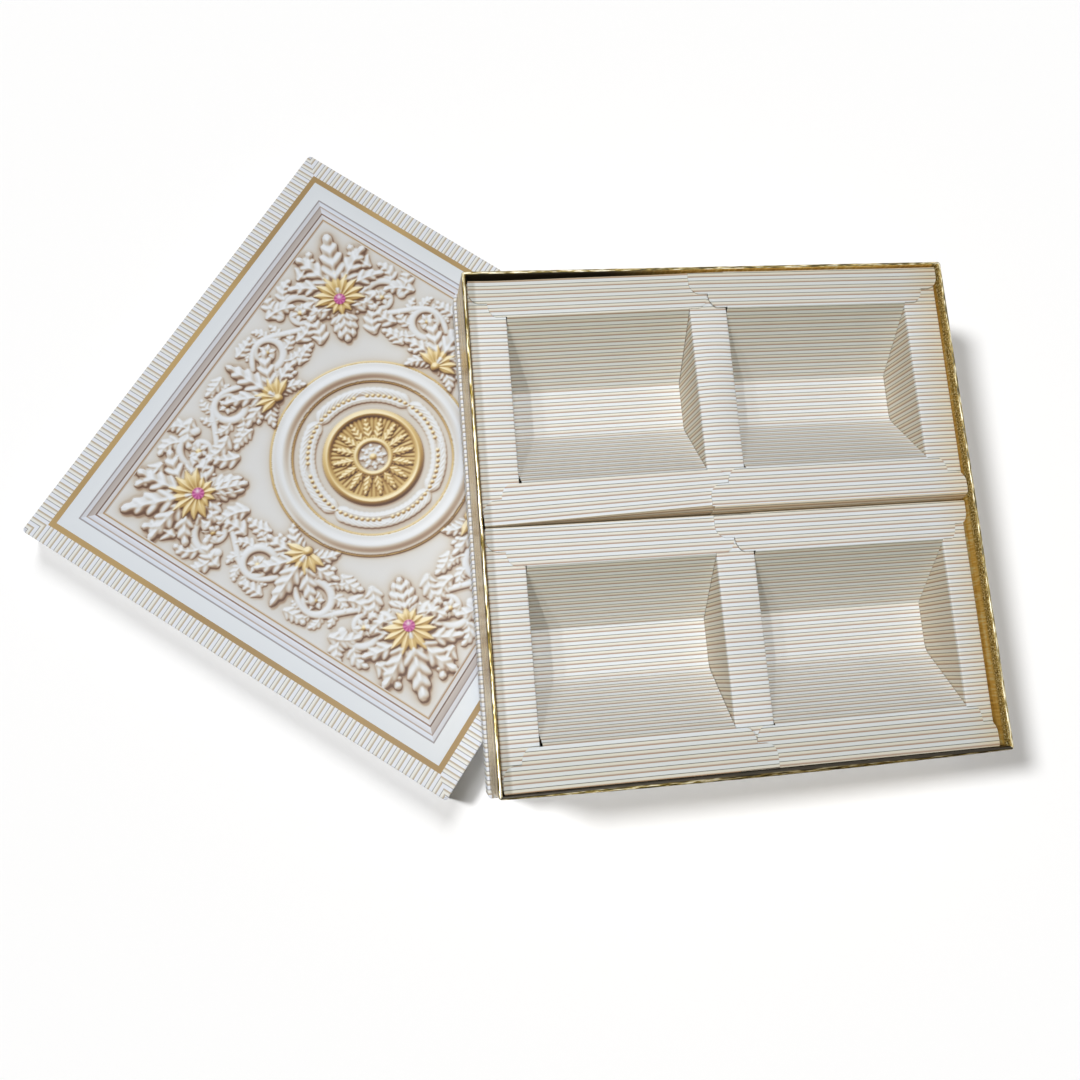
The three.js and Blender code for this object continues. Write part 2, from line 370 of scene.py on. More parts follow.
def mottled(wire, base_colour, scale, amount):
    """The same colour with faint cloudy fibre, as paper has."""
    level = cloudy(wire, scale, 4.0) * (2 * amount) + (1 - amount)
    grey = wire.node("ShaderNodeCombineColor", None, {0: level, 1: level, 2: level})
    return tinted(wire, 1.0, base_colour, grey)


def bumped(wire, height, strength, distance):
    sockets = {"Strength": strength, "Distance": distance, "Height": height}
    return wire.node("ShaderNodeBump", None, sockets)


def paper_finish(
    name, make_colour, roughness, fibre=1400.0,
    bump=0.12, clouds=(60.0, 0.035), wear=(45.0, 0.16), gloss=0.3,
):
    """fibre, bump: fineness and strength of the fibres; clouds, wear: fineness and amount of unevenness."""
    material, wire, shader = new_finish(name)
    plug(wire.tree, shader, {
        "Base Color": mottled(wire, make_colour(wire), *clouds),
        "Roughness": cloudy(wire, wear[0], 3.0) * wear[1] + (roughness - wear[1] / 2),
        "Normal": bumped(wire, cloudy(wire, fibre, 3.0), bump, 0.0002),
        "Specular IOR Level": gloss,
    })
    return material


def beside_neck(wire, ink):
    """Painted shade by the neck: along the left, dimmer at front and back; painted foil reflection on the right.
    """
    x, y = along(wire, base, 0), along(wire, base, 1)
    left, right = base.span("neck_left")[1][0], base.span("neck_right")[0][0]
    ink = tinted(wire, soft_step(wire, abs(y), *DIM_END), ink, END_SHADE)
    ink = tinted(wire, 1 - soft_step(wire, x - left, *LEFT_SHADE), ink, RIM_SHADOW)
    return tinted(wire, soft_step(wire, x, right - FOIL_REFLECTION_REACH, right), ink, FOIL_REFLECTION)


def carried(wire, name):
    return wire.node("ShaderNodeAttribute", {"attribute_name": name}, None, "Fac")


def tray_print(wire):
    stripes = striped(wire, carried(wire, "card_run"), CARD_PERIOD, CARD_INK)
    # Painted shade on the slopes and on the legs, then the painted shade and foil reflection beside the neck
    sloped = tinted(wire, carried(wire, "slope"), stripes, SLOPE_SHADE)
    return beside_neck(wire, tinted(wire, carried(wire, "leg"), sloped, LEG_SHADE))


def cradle_print(wire):
    """Stripes across the row, and painted shade, warm and darker, down the wells."""
    depth = base.span("back_cradle")[1][2] - along(wire, base, 2)
    stripes = striped(wire, along(wire, base, 1), CARD_PERIOD, CARD_INK)
    return beside_neck(wire, tinted(wire, soft_step(wire, depth, *WELL_FADE), stripes, WELL_SHADE))


def mitred(wire, seat):
    """1 where a left or right edge is nearest, and lengths along and across the nearest edge."""
    x, y = along(wire, seat, 0), along(wire, seat, 1)
    side = abs(x) > abs(y)
    return side, side * y + (1 - side) * x, side * x + (1 - side) * y


def base_print(wire):
    return striped(wire, mitred(wire, base)[1], WRAP_PERIOD, WRAP_INK)


def band_print(wire):
    return striped(wire, -1 * mitred(wire, lid)[1], WRAP_PERIOD, WRAP_INK)


tray_card = paper_finish("tray_card", tray_print, 0.62)
cradle_card = paper_finish("cradle_card", cradle_print, 0.62)
base_paper = paper_finish("base_paper", base_print, 0.5)
band_paper = paper_finish("band_paper", band_print, 0.45)
print("striped finishes:", [m.name for m in (tray_card, cradle_card, base_paper, band_paper)])

# %% [markdown]
# ## Sheets with thickness
# Card is a thin sheet, so each folded piece is a grid of points on its visible face, moved back along the
# surface by the card's thickness and closed round the rim. A Solidify modifier could do this too, but a
# grid keeps the stripe length of every point, which the print needs.

# %% From a grid of points to a closed sheet
def grid_faces(rows, columns):
    """Point numbers of a grid's faces and, in order, of its rim."""
    number = np.arange(rows * columns).reshape(rows, columns)
    corners = number[:-1, :-1], number[:-1, 1:], number[1:, 1:], number[1:, :-1]
    loop = np.concatenate([number[0, :-1], number[:-1, -1], number[-1, :0:-1], number[:0:-1, 0]])
    return np.stack(corners, -1).reshape(-1, 4), loop


def rim_faces(loop, under):
    """Faces that close a sheet between its rim and the rim below it."""
    return np.stack([np.roll(loop, -1), loop, under, np.roll(under, -1)], -1)


def thickened(face, thickness):
    """Points and faces of a closed sheet whose visible face is a grid of points."""
    rows, columns = face.shape[:2]
    normal = np.cross(np.gradient(face, axis=1), np.gradient(face, axis=0))
    normal /= np.linalg.norm(normal, axis=2, keepdims=True)
    back = face - thickness * normal
    points = np.concatenate([face.reshape(-1, 3), back.reshape(-1, 3)])
    front, loop = grid_faces(rows, columns)
    under = front[:, ::-1] + rows * columns
    rim = rim_faces(loop, loop + rows * columns)
    return points, np.concatenate([front, under, rim]).tolist()


def finished_piece(name, mesh, body, nodes, crease=35):
    """A plain mesh in row metres becomes a piece that rides on its body."""
    mesh.update()
    mesh.polygons.foreach_set("use_smooth", [True] * len(mesh.polygons))
    mesh.set_sharp_from_angle(angle=math.radians(crease))
    piece = placed(name, mesh)
    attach(piece, body)
    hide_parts(*nodes)
    return piece


def mesh_from(name, points, faces, seat, finish):
    mesh = bpy.data.meshes.new(name)
    mesh.from_pydata(seat.to_row(points).tolist(), [], faces)
    mesh.materials.append(finish)
    return mesh


def set_values(mesh, name, values):
    mesh.attributes.new(name, "FLOAT", "POINT").data.foreach_set("value", np.asarray(values, np.float32))


print("sheet helpers ready")

# %% [markdown]
# ## Trays
# Each compartment is lined by one card, folded as leg, flange, slope, floor, slope, flange, leg. The fold
# in front of the floor is a soft one. The flanges have wings that lie on the strips beside the
# compartment, cut in two rounded steps, and some legs spring out towards the next row. The grid's rows
# follow the folded line, and each row is as wide as the cut card is there, so one grid gives the whole
# blank.

# %% The folded line of a tray
CARD = 0.6
FLANGE = 20.4
TROUGH_DEPTH = 32.8
TROUGH_FLOOR = 26.6
TRAY_CLEARANCE = 0.4
LOBE_FLAT = 4.0
INNER_LOBE_RISE = 8.0
OUTER_LOBE_RISE = 6.5
LEG_SLANT = 9.0
LEG_INSET = 0.3
LEG_STRAIGHT = 0.4
FOLD_RADIUS = 0.6
SOFT_FOLD = 9.0
LAP_RISE = 0.8
LEFT_STRIP = 19.8
LEFT_WING, LAP_WING = 19.4, 20.2
BACK_RIGHT_WING, FRONT_RIGHT_WING = 20.0, 14.8
SLIT = 0.03
NECK_DROP = 2.4

rim_height = base.span("neck_foil")[1][2]
flange_top = rim_height - NECK_DROP
trough_top = flange_top - TROUGH_DEPTH
leg_foot = base.span("back_left_tray")[0][2]


def folded_line(corners, radii, arc_steps=5):
    """Dense points of a line with rounded folds, and the length of each along the sharp line."""
    corners = np.array(corners, float)
    lengths = np.linalg.norm(np.diff(corners, axis=0), axis=1)
    runs = np.concatenate([[0], np.cumsum(lengths)])
    points, at = [corners[0]], [0.0]
    for k, radius in enumerate(radii, 1):
        before = (corners[k] - corners[k - 1]) / lengths[k - 1]
        after = (corners[k + 1] - corners[k]) / lengths[k]
        turn = math.acos(np.clip(before @ after, -1, 1))
        reach = radius * math.tan(turn / 2)
        bisector = (after - before) / np.linalg.norm(after - before)
        centre = corners[k] + bisector * radius / math.cos(turn / 2)
        start = corners[k] - before * reach - centre
        end = corners[k] + after * reach - centre
        for share in np.linspace(0, 1, arc_steps + 1):
            spoke = (math.sin((1 - share) * turn) * start + math.sin(share * turn) * end) / math.sin(turn)
            points.append(centre + spoke)
            at.append(runs[k] + reach * (2 * share - 1))
    points.append(corners[-1])
    at.append(runs[-1])
    return np.array(points), np.array(at), runs


def wing_reach(t, wing):
    """How far a flange reaches past its fold's corner at a distance t from the fold."""
    step = wing / 2
    first = LOBE_FLAT + (step - LOBE_FLAT) * np.sin(np.arccos(np.clip(1 - t / INNER_LOBE_RISE, 0, 1)))
    outer = (t - INNER_LOBE_RISE) / OUTER_LOBE_RISE
    second = step + LOBE_FLAT + (step - LOBE_FLAT) * np.sin(np.arccos(np.clip(1 - outer, 0, 1)))
    return np.where(t < INNER_LOBE_RISE, first, second)


def leg_reach(share, wing, rise, lap):
    """How far a leg reaches past the compartment: under its wing at first, leaning in towards the foot."""
    under = np.where((wing == LAP_WING) & (rise > 0), lap, wing - LEG_INSET)
    lean = np.clip((share - LEG_STRAIGHT) / (1 - LEG_STRAIGHT), 0, 1)
    return under - (under + LEG_SLANT) * lean


levels = {"flange top": flange_top, "trough top": trough_top, "leg foot": leg_foot}
print("levels in mm:", {label: round(float(level), 2) for label, level in levels.items()})

# %% One grid for each tray
TRAY_COLUMNS = 64
FLANGE_STEP = 0.7
PANEL_STEP = 3.0
BOW = 0.35
CORNER_SLIT = 9.0
SPRING_DEPTH = 9.0
WING_LIFT, LIFT_START, LIFT_RUN = 0.9, 115, 17
# How much of the slopes' painted shade shows at the top of a front slope and at the foot of a back slope
FRONT_SLOPE, BACK_SLOPE_FOOT = 0.2, 0.47


def flange_bow(x, y):
    """Flanges lie a little uneven; one field for all trays keeps their laps apart."""
    lifted_end = WING_LIFT * np.clip((-LIFT_START - x) / LIFT_RUN, 0, 1) ** 2
    return lifted_end + BOW * (0.5 + 0.25 * np.sin(x / 23 + 0.7) + 0.25 * np.sin(x / 11 + y / 17))


def tray_rows(runs, fold_reach):
    """Where along the folded line the grid's rows lie."""
    lobe = INNER_LOBE_RISE
    jumps = [runs[1] + FOLD_RADIUS, runs[2] - fold_reach, runs[5] + fold_reach, runs[6] - FOLD_RADIUS]
    jumps += [runs[2] - lobe, runs[5] + lobe]
    rows = [np.array([j - SLIT, j + SLIT]) for j in jumps]
    for k in range(7):
        step = FLANGE_STEP if k in (1, 5) else PANEL_STEP
        rows.append(np.linspace(runs[k], runs[k + 1], int((runs[k + 1] - runs[k]) / step) + 2))
    return rows


def slope_shade(rows, runs):
    """How much painted shade each row shows: it grows up both slopes, and the back one has most."""
    climbed = np.interp(rows, runs[2:6], (1, 0, 0, 1))
    back = (rows > runs[4]) & (rows < runs[5])
    front = (rows > runs[2]) & (rows < runs[3])
    return back * (BACK_SLOPE_FOOT + (1 - BACK_SLOPE_FOOT) * climbed) + front * FRONT_SLOPE * climbed


def make_tray(
    name, body, wings, rises, turn=0.0, shift=0.0, skew=(0, 0), spring=(0, 0), leg_lap=0, corner_gap=0,
):
    """turn, shift: how the tray lies in the row; the rest: extra at its front edge, leg and left corner."""
    low, high = base.span(name)
    left, right = low[0] + wings[0], high[0] - wings[1]
    front, back = low[1], high[1]
    middle = (front + back) / 2
    mouth = (back - front) / 2 - FLANGE
    front_top, back_top = flange_top + rises[0], flange_top + rises[1]
    line, at, runs = folded_line(
        [
            (front, leg_foot), (front, front_top), (middle - mouth, front_top),
            (middle - TROUGH_FLOOR / 2, trough_top), (middle + TROUGH_FLOOR / 2, trough_top),
            (middle + mouth, back_top), (back, back_top), (back, leg_foot),
        ],
        (FOLD_RADIUS, FOLD_RADIUS, SOFT_FOLD, FOLD_RADIUS, FOLD_RADIUS, FOLD_RADIUS),
    )
    fold_reach = FOLD_RADIUS * math.tan(math.atan2(TROUGH_DEPTH, mouth - TROUGH_FLOOR / 2) / 2)
    rows = np.unique(np.concatenate([at, *tray_rows(runs, fold_reach)]).round(4))
    y, z = np.interp(rows, at, line[:, 0]), np.interp(rows, at, line[:, 1])
    t = np.maximum(runs[2] - rows, rows - runs[5])
    leg_share = np.clip(np.maximum(runs[1] - rows, rows - runs[6]) / runs[1], 0, 1)
    on_leg = (rows <= runs[1] + FOLD_RADIUS) | (rows >= runs[6] - FOLD_RADIUS)
    on_flange = ~on_leg & (t > fold_reach)
    rise = np.where(rows < runs[3], rises[0], rises[1])
    lap = np.where(rows < runs[3], leg_lap, 0)
    slit = corner_gap * np.clip(1 - (rows - runs[2]) / CORNER_SLIT, 0, 1)
    past = []
    for wing, gap in zip(wings, (slit, 0)):
        on_panels = np.where(on_leg, leg_reach(leg_share, wing, rise, lap), -TRAY_CLEARANCE - gap)
        past.append(np.where(on_flange, wing_reach(t, wing), on_panels))
    share = np.linspace(0, 1, TRAY_COLUMNS)
    x = (left - past[0])[:, None] * (1 - share) + (right + past[1])[:, None] * share
    face = np.stack([x, *(np.broadcast_to(c[:, None], x.shape) for c in (y, z))], -1)
    lift = np.clip(t / FLANGE, 0, 1)[:, None]
    face[..., 2] += lift * flange_bow(face[..., 0], face[..., 1])
    across = (face[..., 0] - left) / (right - left)
    face[..., 1] += (rows < runs[3])[:, None] * lift * (skew[0] + (skew[1] - skew[0]) * across)
    depth = np.clip(runs[1] - rows, 0, None)[:, None]
    sprung = np.sin(np.clip(depth / SPRING_DEPTH, 0, 1) * math.pi / 2)
    sprung -= 0.5 * np.clip(depth / runs[1], 0, 1)
    face[..., 1] -= sprung * (spring[0] + (spring[1] - spring[0]) * np.clip(across, 0, 1.2))
    face[..., 1] += shift + turn * (face[..., 0] - (left + right) / 2)
    points, faces = thickened(face, CARD)
    mesh = mesh_from(name + "_card", points, faces, base, tray_card)
    # slope and leg: how much painted shade each row's print gets
    carried_values = {"card_run": rows + front, "slope": slope_shade(rows, runs), "leg": on_leg}
    for label, values in carried_values.items():
        set_values(mesh, label, np.tile(np.repeat(values, TRAY_COLUMNS), 2))
    return finished_piece(name + "_card", mesh, body, [name])


left_wings = LEFT_WING, LAP_WING
back_right_wings, front_right_wings = (LAP_WING, BACK_RIGHT_WING), (LAP_WING, FRONT_RIGHT_WING)
trays = [
    make_tray(
        "back_left_tray", "back_left_tray", left_wings, (0, 0),
        turn=0.018, shift=-0.3, skew=(-0.9, 0.9), spring=(0.2, 3.0), corner_gap=1.0,
    ),
    make_tray(
        "back_right_tray", "back_right_tray", back_right_wings, (LAP_RISE, LAP_RISE),
        shift=0.65, spring=(3.0, 3.0), leg_lap=19.0,
    ),
    make_tray(
        "front_left_tray", "front_trays", left_wings, (LAP_RISE, 0),
        skew=(-1.2, -1.2), corner_gap=1.0,
    ),
    make_tray("front_right_tray", "front_trays", front_right_wings, (0, LAP_RISE), skew=(-1.2, -1.2)),
]
print("trays:", {t.name: len(t.data.polygons) for t in trays})

# %% [markdown]
# ## Cradles
# Under the two trays of a row lies one long card that is folded down into two wells, with a strip between
# them and one at each end. Its shape follows a rule: a folded line swept across the row. Geometry Nodes
# do that with a filleted curve and Curve to Mesh, so one tree makes both cradles from a path and a
# section. The strips are then bulged a little, as card is that is pressed between two folds.

# %% A tree that sweeps a card along folds
def curve_object(name, points, closed):
    data = bpy.data.curves.new(name, "CURVE")
    data.dimensions = "3D"
    spline = data.splines.new("POLY")
    spline.points.add(len(points) - 1)
    for point, place in zip(spline.points, points):
        point.co = (*place, 1)
    spline.use_cyclic_u = closed
    return placed(name, data)


def node_tree(name, inputs):
    tree = bpy.data.node_groups.new(name, "GeometryNodeTree")
    tree.interface.new_socket("Geometry", in_out="INPUT", socket_type="NodeSocketGeometry")
    keys = {}
    for label, kind in inputs.items():
        socket = tree.interface.new_socket(label, in_out="INPUT", socket_type=kind)
        keys[label] = socket.identifier
    tree.interface.new_socket("Geometry", in_out="OUTPUT", socket_type="NodeSocketGeometry")
    wire = Wire(tree)
    start = wire.node("NodeGroupInput").socket.node
    given = {socket.name: Wire(tree, socket) for socket in start.outputs if socket.name}
    return tree, wire, given, keys


def end_tree(wire, shape, finish):
    plain = wire.node("GeometryNodeRealizeInstances", None, {0: shape})
    dressed = wire.node("GeometryNodeSetMaterial", None, {"Geometry": plain, "Material": finish})
    wire.node("NodeGroupOutput", None, {0: dressed})


def grown_mesh(name, start_mesh, tree, keys, values):
    """Runs a tree on a mesh and returns the result as a plain mesh."""
    carrier = placed(name + "_carrier", start_mesh)
    modifier = carrier.modifiers.new("tree", "NODES")
    modifier.node_group = tree
    for label, value in values.items():
        modifier[keys[label]] = value
    grown = bpy.data.meshes.new_from_object(carrier.evaluated_get(bpy.context.evaluated_depsgraph_get()))
    carrier.modifiers.remove(modifier)
    bpy.data.objects.remove(carrier)
    grown.name = name
    return grown


fold_tree, wire, given, fold_keys = node_tree(
    "folded_card",
    {
        "Path": "NodeSocketObject", "Section": "NodeSocketObject", "Fold radius": "NodeSocketFloat",
        "Fold points": "NodeSocketInt", "Finish": "NodeSocketMaterial",
    },
)
path = wire.node("GeometryNodeObjectInfo", None, {"Object": given["Path"]}, "Geometry")
section = wire.node("GeometryNodeObjectInfo", None, {"Object": given["Section"]}, "Geometry")
folds = wire.node(
    "GeometryNodeFilletCurve",
    {"mode": "POLY"},
    {"Curve": path, "Count": given["Fold points"], "Radius": given["Fold radius"], "Limit Radius": True},
)
swept = wire.node("GeometryNodeCurveToMesh", None, {"Curve": folds, "Profile Curve": section})
joined = wire.node("GeometryNodeMergeByDistance", None, {"Geometry": swept, "Distance": 0.00001})
end_tree(wire, joined, given["Finish"])
print("tree with inputs", list(fold_keys))

# %% Both cradles
STRIP_POINTS, DEPTH_POINTS = 7, 40
FOLD_POINTS = 4
WELL_GAP = 0.2


def make_cradle(name, row, right_wing, longer, trims, crowns):
    """longer, trims: what the right, front and back ends gain or lose; crowns: how far the strips bulge."""
    low, high = base.span(name)
    high[0] += longer
    floor_top = trough_top - CARD - WELL_GAP
    strip_top = high[2]
    left_low, left_high = base.span(row + "_left_tray")
    right_low, right_high = base.span(row + "_right_tray")
    edges = [low[0] + LEFT_STRIP, left_high[0] - LAP_WING]
    edges += [right_low[0] + LAP_WING, right_high[0] - right_wing]
    strips = [(low[0], edges[0]), (edges[1], edges[2]), (edges[3], high[0])]
    line = [(low[0], low[2])]
    for k, (begin, end) in enumerate(strips):
        line += [(x, strip_top) for x in np.linspace(begin, end, STRIP_POINTS)]
        line += [(end, floor_top), (edges[2 * k + 1], floor_top)] if k < 2 else [(end, low[2])]
    depths = np.linspace(low[1] + trims[0], high[1] - trims[1], DEPTH_POINTS) / 1000
    path = curve_object(name + "_path", [(x / 1000, 0, z / 1000) for x, z in line], False)
    corners = [(CARD / 1000, y, 0) for y in depths] + [(0, y, 0) for y in depths[::-1]]
    section = curve_object(name + "_section", corners, True)
    values = {
        "Path": path, "Section": section, "Fold radius": FOLD_RADIUS / 1000,
        "Fold points": FOLD_POINTS, "Finish": cradle_card,
    }
    grown = grown_mesh(name + "_card", bpy.data.meshes.new("empty"), fold_tree, fold_keys, values)
    for helper in (path, section):
        bpy.data.objects.remove(helper)
    local = np.array([v.co for v in grown.vertices]) * 1000
    middle = (left_low[1] + left_high[1]) / 2
    mouth = (left_high[1] - left_low[1]) / 2 - FLANGE
    along_strip = np.clip(1 - ((local[:, 1] - middle) / mouth) ** 2, 0, 1)
    for (begin, end), crown in zip(strips, crowns):
        across = np.clip(1 - ((2 * local[:, 0] - begin - end) / (end - begin)) ** 2, 0, 1)
        local[:, 2] += crown * across * along_strip * (local[:, 2] > strip_top - 2 * CARD)
    print(name, "box in the base", local.min(0).round(2), local.max(0).round(2))
    grown.vertices.foreach_set("co", base.to_row(local).astype(np.float32).ravel())
    return finished_piece(name + "_card", grown, name, [name])


cradles = [
    make_cradle("back_cradle", "back", BACK_RIGHT_WING, 0.0, (1.8, 1.5), (0.3, 1.6, 0.3)),
    make_cradle("front_cradle", "front", FRONT_RIGHT_WING, 2.4, (0, 0), (0.3, 0.5, 0.3)),
]
print("cradles:", {c.name: len(c.data.polygons) for c in cradles})

# %% [markdown]
# ## Wraps that run round the box
# The base paper, the lid's border paper and the foil all run round a square with slightly soft corners.
# Each is a closed section carried round that square. Every point of the section keeps its own corner
# radius, so the inside of a corner doesn't fold over itself, which a plain sweep would do.

# %% A section carried round a soft square
def soft_square(side_steps, corner_steps):
    """Corner directions and outward directions round a square, anticlockwise from above."""
    spots, outward = [], []
    for quarter in range(4):
        signs = np.array([(1, 1), (-1, 1), (-1, -1), (1, -1)], float)
        here, there = signs[quarter], signs[(quarter + 1) % 4]
        for share in np.linspace(0, 1, corner_steps + 1):
            angle = (quarter + share) * math.pi / 2
            spots.append(here)
            outward.append((math.cos(angle), math.sin(angle)))
        for share in np.linspace(0, 1, side_steps + 1)[1:-1]:
            spots.append(here + (there - here) * share)
            outward.append(outward[-1])
    return np.array(spots), np.array(outward)


def ring_mesh(name, section, seat, finish, side_steps, corner_steps=5, reshape=None):
    """section: closed list of (half width, corner radius, height), outer face first and upwards."""
    spots, outward = soft_square(side_steps, corner_steps)
    section = np.array(section)
    flat = (section[:, 0] - section[:, 1])[:, None, None] * spots + section[:, 1][:, None, None] * outward
    height = np.broadcast_to(section[:, 2][:, None, None], flat.shape[:2] + (1,))
    points = np.concatenate([flat, height], -1)
    if reshape:
        reshape(points)
    rings, around = points.shape[:2]
    number = np.arange(rings * around).reshape(rings, around)
    onward, upward = np.roll(number, -1, 1), np.roll(number, -1, 0)
    faces = np.stack([number, onward, np.roll(onward, -1, 0), upward], -1).reshape(-1, 4)
    return mesh_from(name, points.reshape(-1, 3), faces.tolist(), seat, finish)


def rounded_edge(half, height, radius, corner, steps=4):
    """Section points over an outer top edge, from the wall to the top."""
    angles = np.linspace(0, math.pi / 2, steps + 1)
    across, up = half - radius + radius * np.cos(angles), height - radius + radius * np.sin(angles)
    return [(a, corner, u) for a, u in zip(across, up)]


WRAP = 0.4
PLAN_CORNER = 1.9
LEDGE, LEDGE_CORNER, BASE_EDGE = 2.75, 0.3, 0.7
COVER_STEPS = 120


def cover_section(low, high, edge, lip, lip_corner, inner_top):
    """Paper up a wall, over its rounded edge and in to a lip, and back along its hidden face."""
    half, foot, top = high[0], low[2], high[2]
    inner, inner_corner = half - WRAP, PLAN_CORNER - WRAP
    return [
        (half, PLAN_CORNER, foot), *rounded_edge(half, top, edge, PLAN_CORNER),
        (half - lip, lip_corner, top), (half - lip, lip_corner, top - WRAP),
        (inner, inner_corner, top - inner_top), (inner, inner_corner, foot),
    ]


def make_cover(name, section, seat, finish, body, node):
    return finished_piece(name, ring_mesh(name, section, seat, finish, COVER_STEPS), body, [node])


base_low, base_high = base.span("base_wrap")
shoulder = base_high[2]
wrap_section = cover_section(base_low, base_high, BASE_EDGE, LEDGE, LEDGE_CORNER, WRAP)
base_cover = make_cover(
    "base_cover_paper", wrap_section, base, base_paper, "base", "base_wrap",
)
print("base cover:", len(base_cover.data.polygons), "faces")

# %% [markdown]
# ## Gold foil neck
# The neck is board wrapped in metallised paper, folded over the rim. The foil was rolled on lengthwise,
# so its streaks run along the box: noise is stretched along the run and squeezed across it. Outside it is
# a satin beige with painted shade lines at the ledge and under the rim. Inside it is an amber that is
# partly the foil's colour and partly a painted reflection of the card, with painted shade in front and at
# the back left and a band of painted glints along the top on the right. The rim is crinkled, and painted
# glints and dark painted reflections make its dark and bright lines, with a painted highlight line on the
# left and painted shade in front. The ring carries values that say where the rim and the inside are.
# It stands off the board a little on the left and bows out in front, and a small tree of Geometry Nodes
# pushes the foil in and out by seeded noise where it lies loose.

# %% Foil finish
# How far the painted shade lines reach up from the ledge and down from the rim, and how far the rim reaches, in mm
FOOT_SHADE, RIM_SHADE, RIM_REACH = 7.0, 6.0, 0.6
SATIN = [(0.34, colour(182, 158, 110)), (0.5, colour(210, 189, 142)), (0.66, colour(224, 206, 162))]
# The inside: the foil's own amber and a painted reflection of the card in one
AMBER = [(0.34, colour(196, 144, 52)), (0.5, colour(242, 198, 98)), (0.64, colour(255, 240, 172))]
# Painted glints and dark painted reflections on the rim
RIM_GLINTS_AND_SHADE = [
    (0.38, colour(50, 44, 18)), (0.47, colour(112, 96, 42)),
    (0.54, colour(190, 166, 90)), (0.6, colour(255, 250, 224)),
]
# Painted glints on olive, for a band along the top of the inside on the right
INNER_GLINTS = [
    (0.36, colour(98, 78, 26)), (0.47, colour(170, 140, 66)),
    (0.55, colour(212, 182, 104)), (0.64, colour(250, 240, 190)),
]
# Painted shade: dark lines on the outside, and the inside in front and at the back left
SHADE_LINE_FOIL, SHADED_FOIL = colour(84, 64, 30), colour(40, 32, 16)
# Painted shade over the right part of the front rim
FRONT_RIM_SHADE = (0.34, 0.3, 0.22, 1)
RIM_MIDDLE = 134.1
SIDE_END = 130.0
RIGHT_BAND, BAND_FADE = 6.5, 2.5
BACK_FADE, FRONT_FADE = (-60, 10), (-90, 0)
# Fades of the painted highlight line across the left rim, and of the rim's colour
HIGHLIGHT_FADE, RIM_FADE = (0.25, 0.6), (0.2, 0.7)


def foil_finish():
    material, wire, shader = new_finish("gold_foil")
    x, y, height = (along(wire, base, axis) for axis in range(3))
    side, run, across = mitred(wire, base)

    def streaks(length, width):
        stretched = {0: run / length, 1: across / width, 2: height / width}
        place = wire.node("ShaderNodeCombineXYZ", None, stretched)
        return wire.node("ShaderNodeTexNoise", None, {"Vector": place, "Scale": 1.0, "Detail": 3.0})

    rim, inside = carried(wire, "rim_share"), carried(wire, "inside")
    fine, broad = streaks(7.0, 0.45), streaks(70.0, 4.0)
    ripple, specks = streaks(1.1, 9.0), streaks(0.9, 1.2)
    at_left, at_right = x < -SIDE_END, x > SIDE_END
    at_front, at_back = (1 - side) * (y < -SIDE_END), (1 - side) * (y > SIDE_END)
    outer = ramped(wire, broad, SATIN)
    # Painted shade lines on the outside, at the ledge and under the rim
    between_shade_lines = soft_step(wire, height, shoulder, shoulder + FOOT_SHADE)
    between_shade_lines = between_shade_lines * (1 - soft_step(wire, height, rim_height - RIM_SHADE, rim_height - RIM_REACH))
    outer = mixed(wire, between_shade_lines, SHADE_LINE_FOIL, outer)
    # The inside: amber ripples, partly a painted reflection of the card
    inner = ramped(wire, broad * 0.5 + ripple * 0.5, AMBER)
    # A band of painted glints along the top of the inside on the right
    band_low = rim_height - RIGHT_BAND
    band = at_right * soft_step(wire, height, band_low, band_low + BAND_FADE)
    inner = mixed(wire, band, inner, ramped(wire, specks, INNER_GLINTS))
    # Painted shade inside at the back left and in front
    back_left = at_back * (1 - soft_step(wire, x, *BACK_FADE))
    inner = mixed(wire, wire.math("MAXIMUM", back_left, at_front), inner, SHADED_FOIL)
    # A painted highlight line along the middle of the left rim
    off_middle = abs(abs(across) - RIM_MIDDLE)
    highlight_line = at_left * (1 - soft_step(wire, off_middle, *HIGHLIGHT_FADE))
    # The rim: painted glints and dark painted reflections, darker in front as painted shade
    edge = ramped(wire, fine + highlight_line * 0.06, RIM_GLINTS_AND_SHADE)
    edge = tinted(wire, at_front * soft_step(wire, x, *FRONT_FADE), edge, FRONT_RIM_SHADE)
    # Painted shade on the inner half of the rim in front
    front_inner_shade = at_front * (1 - soft_step(wire, abs(across), RIM_MIDDLE, RIM_MIDDLE + 0.9))
    edge = mixed(wire, front_inner_shade, edge, SHADED_FOIL)
    tint = mixed(wire, soft_step(wire, rim, *RIM_FADE), mixed(wire, inside, outer, inner), edge)
    wrinkles = fine * 0.6 + ripple * inside * 0.5
    plug(wire.tree, shader, {
        "Base Color": tint,
        "Metallic": 1 - inside * 0.8,
        "Roughness": broad * 0.3 + inside * 0.15 + 0.12,
        "Normal": bumped(wire, wrinkles, 0.3, 0.0004),
    })
    return material


gold_foil = foil_finish()
print("foil finish:", gold_foil.name)

